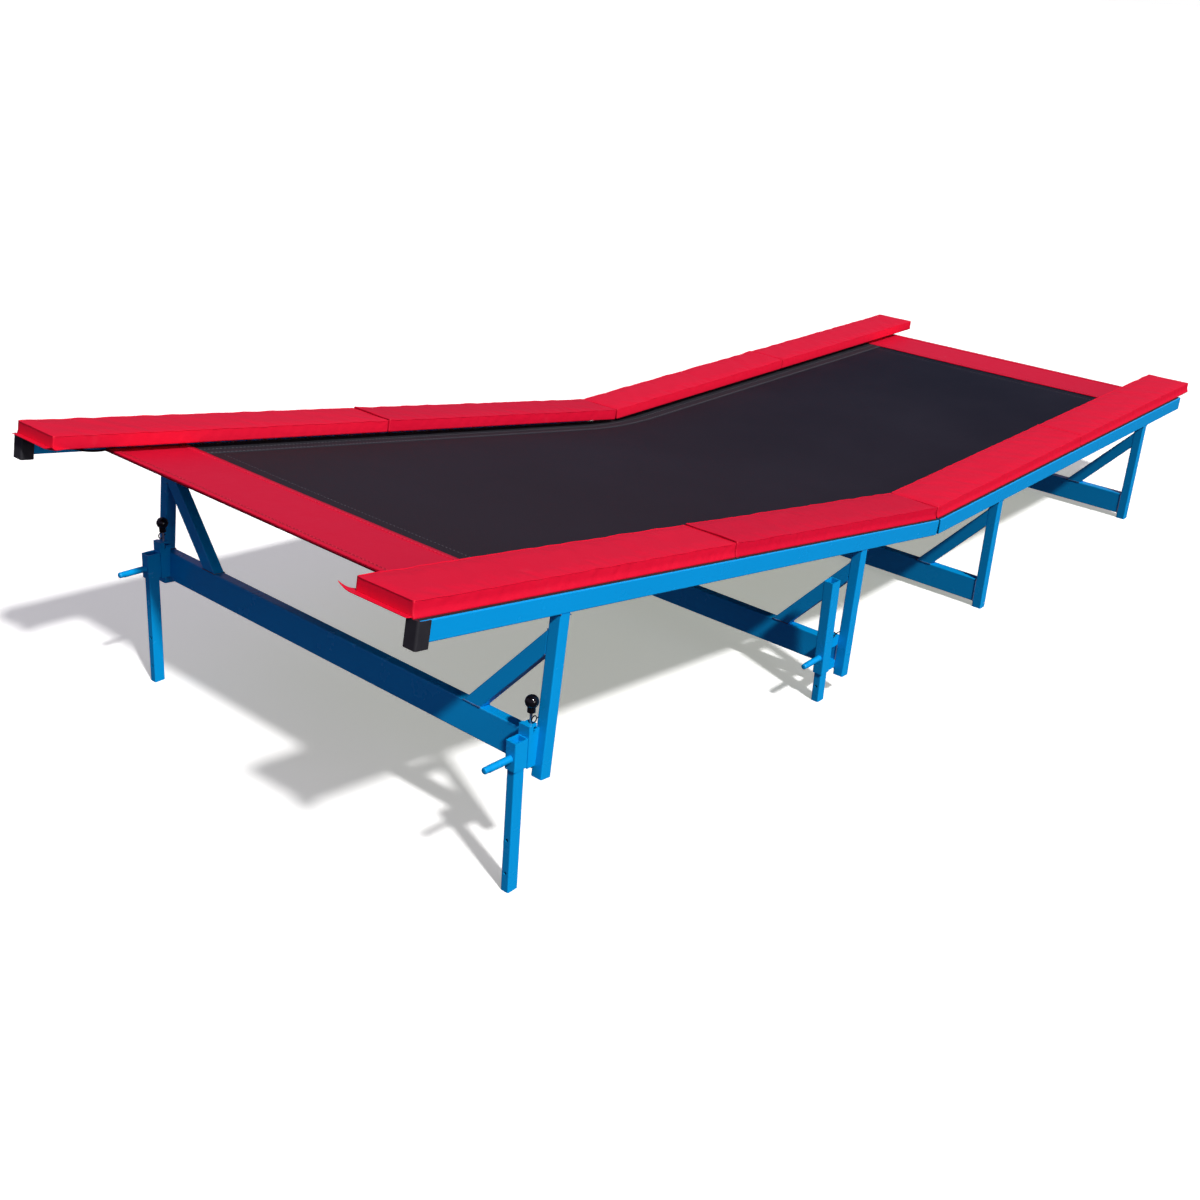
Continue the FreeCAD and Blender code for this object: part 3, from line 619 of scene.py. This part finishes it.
def ring_mesh():
    """One triangular wire ring, base on the bed's edge and apex outwards."""
    bm = bmesh.new()
    base_y = -bed_half + ring_inset
    corners = ((-ring_base / 2, base_y, 0), (0, -bed_half - ring_length, 0), (ring_base / 2, base_y, 0))
    bm.faces.new([bm.verts.new(c) for c in corners])
    bmesh.ops.bevel(bm, geom=bm.verts[:], offset=2 * ring_wire, affect="VERTICES", segments=2,
                    profile=0.5, material=-1)
    bmesh.ops.inset_region(bm, faces=bm.faces[:], thickness=ring_wire, use_even_offset=True,
                           use_boundary=True)
    inner = max(bm.faces, key=lambda f: len(f.verts))
    bmesh.ops.delete(bm, geom=[inner], context="FACES_ONLY")
    bmesh.ops.solidify(bm, geom=bm.faces[:], thickness=ring_wire)
    middle = sum(v.co.z for v in bm.verts) / len(bm.verts)
    bmesh.ops.translate(bm, vec=(0, 0, -middle), verts=bm.verts)
    return as_mesh(bm, "ring")


def springs_and_rings():
    """A section's springs are one piece and its rings another, near and far side together."""
    spring, ring = spring_mesh(), ring_mesh()
    for section, bed_end in (("ramp", ramp_bed_end), ("level", level_bed_end)):
        for kind, mesh, material in (("springs", spring, spring_steel), ("rings", ring, zinc)):
            bm = bmesh.new()
            places = [side_place(section, side) @ Matrix.Translation((s, 0, bed_z))
                      for side in (1, -1) for s in spring_distances(bed_end)]
            add_copies(bm, mesh, places)
            piece = close_piece(bm, "%s_%s" % (section, kind), material)
            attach(piece, sections[section][2])
            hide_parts("%s_bed_%s" % (section, kind))


# ---------------------------------------------------------------- index plungers
plunger_spring_length = 40 * MM
plunger_coil_radius = 6.6 * MM
plunger_wire = 0.9 * MM
grip_radius = 10 * MM
grip_length = 24 * MM
grip_round = 3.5 * MM
grip_past = 0.5 * MM                     # grip past the pin's outer end


def plungers():
    """For each index plunger: its place in the joint's name, outward axis, and its pin's box."""
    for joint in frame["joints"]:
        if joint["name"].endswith("_pull"):
            place = joint["name"][len("plunger_"):-len("_pull")]
            yield place, Vector(joint["axis"]).normalized(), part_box("plunger_pin_" + place)


def plunger_grips():
    """The rounded grip on each index pin's outer end."""
    for place, axis, (low, high) in plungers():
        tip = (low + high) / 2 + axis * (high.x - low.x) / 2 / abs(axis.x)
        bm = bmesh.new()
        bmesh.ops.create_cone(bm, cap_ends=True, segments=24, radius1=grip_radius, radius2=grip_radius,
                              depth=grip_length)
        rims = [e for e in bm.edges if abs(e.verts[0].co.z - e.verts[1].co.z) < 1 * MM]
        bmesh.ops.bevel(bm, geom=rims, offset=grip_round, affect="EDGES", segments=4, profile=0.5,
                        material=-1)
        lay = (Matrix.Translation(tip - axis * (grip_length / 2 - grip_past))
               @ axis.to_track_quat("Z", "Y").to_matrix().to_4x4())
        bmesh.ops.transform(bm, matrix=lay, verts=bm.verts)
        piece = close_piece(bm, "plunger_%s_grip" % place, enamel)
        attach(piece, "plunger_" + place)


def plunger_springs():
    """A compression spring round each index pin, held with the ramp section."""
    turns, steps = 9, 8
    for place, axis, (low, high) in plungers():
        own = [v.co for v in frame["nodes"]["plunger_springs"].data.vertices
               if low.x < v.co.x < high.x and low.y - 10 * MM < v.co.y < high.y + 10 * MM]
        middle = Vector((min(c[i] for c in own) + max(c[i] for c in own)) / 2 for i in range(3))
        outer = middle + axis * plunger_spring_length / 2
        bm = bmesh.new()
        bmesh.ops.create_circle(bm, cap_ends=False, radius=plunger_wire, segments=5)
        bmesh.ops.rotate(bm, cent=(0, 0, 0), matrix=Matrix.Rotation(math.pi / 2, 3, "X"),
                         verts=bm.verts)
        bmesh.ops.translate(bm, vec=(plunger_coil_radius, 0, plunger_wire), verts=bm.verts)
        rise = (plunger_spring_length - 2 * plunger_wire) / (turns * steps)
        bmesh.ops.spin(bm, geom=bm.edges[:] + bm.verts[:], cent=(0, 0, 0), axis=(0, 0, 1),
                       dvec=(0, 0, rise), angle=2 * math.pi * turns, steps=turns * steps)
        lay = Matrix.Translation(outer) @ axis.to_track_quat("-Z", "Y").to_matrix().to_4x4()
        bmesh.ops.transform(bm, matrix=lay, verts=bm.verts)
        piece = close_piece(bm, "plunger_%s_spring" % place, spring_steel)
        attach(piece, "ramp_section")
        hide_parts("plunger_springs")
        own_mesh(piece)


# ---------------------------------------------------------------- stitching
stitch_length, stitch_pitch = 9 * MM, 16 * MM    # drawn at twice the real length so that they show
stitch_width = 1.6 * MM
stitch_dip = 0.7 * MM                    # a stitch's ends below its middle
on_webbing, on_cloth, on_hem = 4.2 * MM, 1.6 * MM, 6.8 * MM    # threads above the cloth's middle


def stitch_mesh():
    """One thread stitch lying along X, its ends pulled down into the cloth."""
    bm = bmesh.new()
    bmesh.ops.create_cube(bm, size=1)
    bmesh.ops.scale(bm, vec=(stitch_length, stitch_width, stitch_width), verts=bm.verts)
    along = [e for e in bm.edges if abs(e.verts[0].co.x - e.verts[1].co.x) > stitch_length / 2]
    bmesh.ops.subdivide_edges(bm, edges=along, cuts=1, use_grid_fill=True)
    ends = [v for v in bm.verts if abs(v.co.x) > stitch_length / 4]
    bmesh.ops.translate(bm, verts=ends, vec=(0, 0, -stitch_dip))
    return as_mesh(bm, "stitch")


def stitch_row(bm, mesh, x0, x1, y0, y1, lift):
    """A row of stitches over the bed between two points."""
    start, end = Vector((x0, y0, 0)), Vector((x1, y1, 0))
    run = end - start
    turn = Matrix.Rotation(math.atan2(run.y, run.x), 4, "Z")
    places = []
    for i in range(int(run.length / stitch_pitch)):
        x, y, _ = start + run.normalized() * (i + 0.5) * stitch_pitch
        slope = ramp_angle if x < 0 else 0.0
        places.append(Matrix.Translation(bed_point(x, y, lift))
                      @ Matrix.Rotation(slope, 4, "Y") @ turn)
    add_copies(bm, mesh, places)


def stitching():
    """Grey thread along the webbing and beside the bands, and red thread along the bands' hems."""
    stitch = stitch_mesh()
    bm = bmesh.new()
    start, end = -(ramp_bed_end - ramp_band), level_bed_end - level_band
    inner = bed_half - webbing_width
    for side in (-1, 1):
        for y in (inner + 6 * MM, inner + 46 * MM, bed_half - 8 * MM):
            stitch_row(bm, stitch, start, end, side * y, side * y, on_webbing)
    seam = 55 * MM
    for x in (start + seam, end - seam):
        stitch_row(bm, stitch, x, x, -inner, inner, on_cloth)
    thread_row = close_piece(bm, "webbing_stitches", dark_thread)
    blend_over_fold(thread_row)
    for section, x0, x1 in (("ramp", -ramp_bed_end, start), ("level", end, level_bed_end)):
        bm = bmesh.new()
        for x in (x0 + hem_width - 4 * MM, x1 - hem_width + 4 * MM):
            stitch_row(bm, stitch, x, x, -bed_half + 9 * MM, bed_half - 9 * MM, on_hem)
        row = close_piece(bm, section + "_hem_stitches", red_thread)
        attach(row, sections[section][2])


# ---------------------------------------------------------------- welds
leg_size = 40 * MM
brace_size = 50 * MM
brace_foot = 285 * MM
brace_angle = math.radians(48)
beam_height = 100 * MM
beam_lift = 24 * MM
ramp_leg_drop = 495 * MM                 # from the ramp rail down to its legs' lower ends
weld_pitch = 3.5 * MM
ripple_radius = 2.6 * MM
# each section's trestles: place from the fold line and lean from upright
trestles = {"ramp": ((-2157 * MM, math.radians(6.4)), (-571 * MM, math.radians(2.5))),
            "level": ((515 * MM, 0.0), (2040 * MM, 0.0))}


def ramp_underside(x):
    """Height of the ramp rail's underside at x from the fold line."""
    hang = (rail_under - fold.z) / math.cos(ramp_angle)
    return fold.z + hang - x * math.tan(ramp_angle)


def weld_run(bm, ripple, place, start, end):
    """A weld between two points: overlapping ripples along the joint."""
    start, end = Vector(start), Vector(end)
    count = max(2, int((end - start).length / weld_pitch))
    places = []
    for i in range(count + 1):
        spot = start.lerp(end, i / count)
        size = 1 + 0.18 * noise.noise(spot * 190)
        places.append(place @ Matrix.Translation(spot) @ Matrix.Scale(size, 4))
    add_copies(bm, ripple, places)


def trestle_welds(bm, ripple, x, z, drop, lean):
    """Welds of one trestle's near and far corners, in the trestle's own upright layout."""
    place = Matrix.Translation((fold.x + x, 0, z)) @ Matrix.Rotation(lean, 4, "Y")
    inner = half_width - leg_size
    beam_top = -drop + beam_lift + beam_height
    brace_top = beam_top + brace_foot * math.tan(brace_angle)
    brace_low = brace_top - brace_size / math.cos(brace_angle)
    tilt_rise = leg_size * math.tan(ramp_angle) if x < 0 else 0.0
    foot_far = inner - brace_foot
    foot_near = foot_far + brace_size / math.sin(brace_angle)
    for side in (-1, 1):
        for x0, rise in ((0, 0), (leg_size, -tilt_rise)):
            weld_run(bm, ripple, place, (x0, side * inner, rise), (x0, side * half_width, rise))
            weld_run(bm, ripple, place, (x0, side * inner, beam_top - beam_height),
                     (x0, side * inner, beam_top))
            weld_run(bm, ripple, place, (x0, side * foot_far, beam_top),
                     (x0, side * foot_near, beam_top))
        for height in (beam_top, beam_top - beam_height, min(brace_top, 0.0), brace_low):
            weld_run(bm, ripple, place, (0, side * inner, height), (leg_size, side * inner, height))
        weld_run(bm, ripple, place, (0, side * foot_far, beam_top),
                 (leg_size, side * foot_far, beam_top))


def all_welds():
    """Every trestle's welds, one piece to a section."""
    drop_shape = bmesh.new()
    bmesh.ops.create_icosphere(drop_shape, subdivisions=1, radius=ripple_radius)
    ripple = as_mesh(drop_shape, "ripple")
    for section, stands in trestles.items():
        bm = bmesh.new()
        for x, lean in stands:
            height = ramp_underside(x) if section == "ramp" else rail_under
            drop = ramp_leg_drop if section == "ramp" else rail_under
            trestle_welds(bm, ripple, x, height, drop, lean)
        piece = close_piece(bm, section + "_welds", weld_paint)
        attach(piece, sections[section][2])


# ---------------------------------------------------------------- corner loops
loop_wire = 2.5 * MM
loop_half_width = 9 * MM
loop_sag = 14 * MM
loop_points = 28


def corner_loops():
    """A black-coated wire loop at each corner of the bed's ramp end, hooked to the rail."""
    bm = bmesh.new()
    for side in (1, -1):
        loop = bmesh.new()
        start = Vector((ramp_bed_end - 12 * MM, -bed_half - 2 * MM, bed_z))
        end = Vector((ramp_bed_end + 96 * MM, -rail_inner_y - 3 * MM, bed_z - 2 * MM))
        axis = (end - start).normalized()
        across = Vector((-axis.y, axis.x, 0)) * loop_half_width
        middle = (start + end) / 2
        reach = (end - start) / 2
        line = []
        for i in range(loop_points):
            angle = 2 * math.pi * i / loop_points
            pinch = 0.45 + 0.55 * math.sin(angle / 2) ** 2
            sag = Vector((0, 0, -loop_sag * math.sin(angle) ** 2))
            line.append(middle + reach * math.cos(angle) + across * math.sin(angle) * pinch + sag)
        bead(loop, line, loop_wire, True)
        bmesh.ops.transform(loop, matrix=side_place("ramp", side), verts=loop.verts)
        bm.from_mesh(as_mesh(loop, "loop"))
    piece = close_piece(bm, "bed_corner_loops", phenolic)
    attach(piece, "ramp_section")


# ---------------------------------------------------------------- the floor, the lights and the camera
floor_half = 150                         # metres from the middle to the floor's edge
backdrop_radius, backdrop_height = 140, 120
# name, strength, spread in degrees, colour, and the way the light travels
suns = (("key", 3.4, 3.5, (1.0, 0.985, 0.97), (0.265, 0.844, -1.0)),
        ("near_fill", 0.6, 25.0, (1.0, 1.0, 1.0), (0.1, 1.0, -0.25)))
sky_colour = (0.74, 0.60, 1.0, 1)


def studio_floor():
    """A pale floor with a faint glow of its own, unseen by bounced light."""
    bm = bmesh.new()
    bmesh.ops.create_grid(bm, x_segments=1, y_segments=1, size=floor_half)
    mesh = as_mesh(bm, "studio_floor")
    floor = put("studio_floor", mesh)
    m = new_material("pale_floor")
    shader = add(m, "BsdfPrincipled", {"Base Color": srgb("#f4f4f4"), "Roughness": 0.9,
                                       "Specular IOR Level": 0.0, "Emission Strength": 0.34,
                                       "Emission Color": srgb("#faffee")})
    add(m, "OutputMaterial", links={"Surface": shader.outputs[0]})
    mesh.materials.append(m)
    floor.visible_diffuse = floor.visible_glossy = False


def studio_backdrop():
    """A white wall all round, so that no horizon shows; it lights nothing."""
    bm = bmesh.new()
    bmesh.ops.create_cone(bm, cap_ends=False, segments=64, radius1=backdrop_radius,
                          radius2=backdrop_radius, depth=backdrop_height)
    bmesh.ops.reverse_faces(bm, faces=bm.faces)
    mesh = as_mesh(bm, "studio_backdrop")
    backdrop = put("studio_backdrop", mesh)
    m = new_material("white_backdrop")
    shine = add(m, "Emission", {"Strength": 1.0})
    add(m, "OutputMaterial", links={"Surface": shine.outputs[0]})
    mesh.materials.append(m)
    backdrop.visible_diffuse = backdrop.visible_glossy = backdrop.visible_shadow = False


def lights():
    """A key light and a weak fill, both from the near side, and a sky that brightens upwards."""
    for name, energy, spread, colour, travel in suns:
        light = bpy.data.lights.new(name, "SUN")
        light.energy = energy
        light.angle = math.radians(spread)
        light.color = colour
        put(name, light).rotation_euler = Vector(travel).to_track_quat("-Z", "Y").to_euler()
    world = bpy.data.worlds.new("studio_sky")
    bpy.context.scene.world = world
    world.use_nodes = True
    world.node_tree.nodes.clear()
    direction = add(world, "TexCoord")
    height = add(world, "SeparateXYZ", links={0: direction.outputs["Generated"]})
    above = add(world, "MapRange", {"From Min": -0.1, "From Max": 0.15, "To Min": 0.05, "To Max": 0.25},
                {"Value": height.outputs["Z"]})
    sky = add(world, "Background", {"Color": sky_colour}, {"Strength": above.outputs[0]})
    add(world, "OutputWorld", links={"Surface": sky.outputs[0]})
    bpy.context.scene.view_settings.view_transform = "Standard"


def camera():
    """Stands beyond the ramp's near corner, a little above eye height, and looks along the bed."""
    lens = bpy.data.cameras.new("camera")
    lens.lens = 42.54
    lens.sensor_width = 36.0
    lens.clip_end = 500
    seat = put("camera", lens)
    yaw, pitch, roll = (math.radians(a) for a in (50.325, -24.799, 3.117))
    seat.matrix_world = (Matrix.Translation((-4.672, -3.174, 2.467)) @ Matrix.Rotation(-yaw, 4, "Z")
                         @ Matrix.Rotation(math.pi / 2 + pitch, 4, "X") @ Matrix.Rotation(roll, 4, "Z"))
    bpy.context.scene.camera = seat


# ---------------------------------------------------------------- make everything
all_pads()
springs_and_rings()
plunger_springs()
plunger_grips()
stretched_bed()
stitching()
all_welds()
corner_loops()
studio_floor()
studio_backdrop()
lights()
camera()
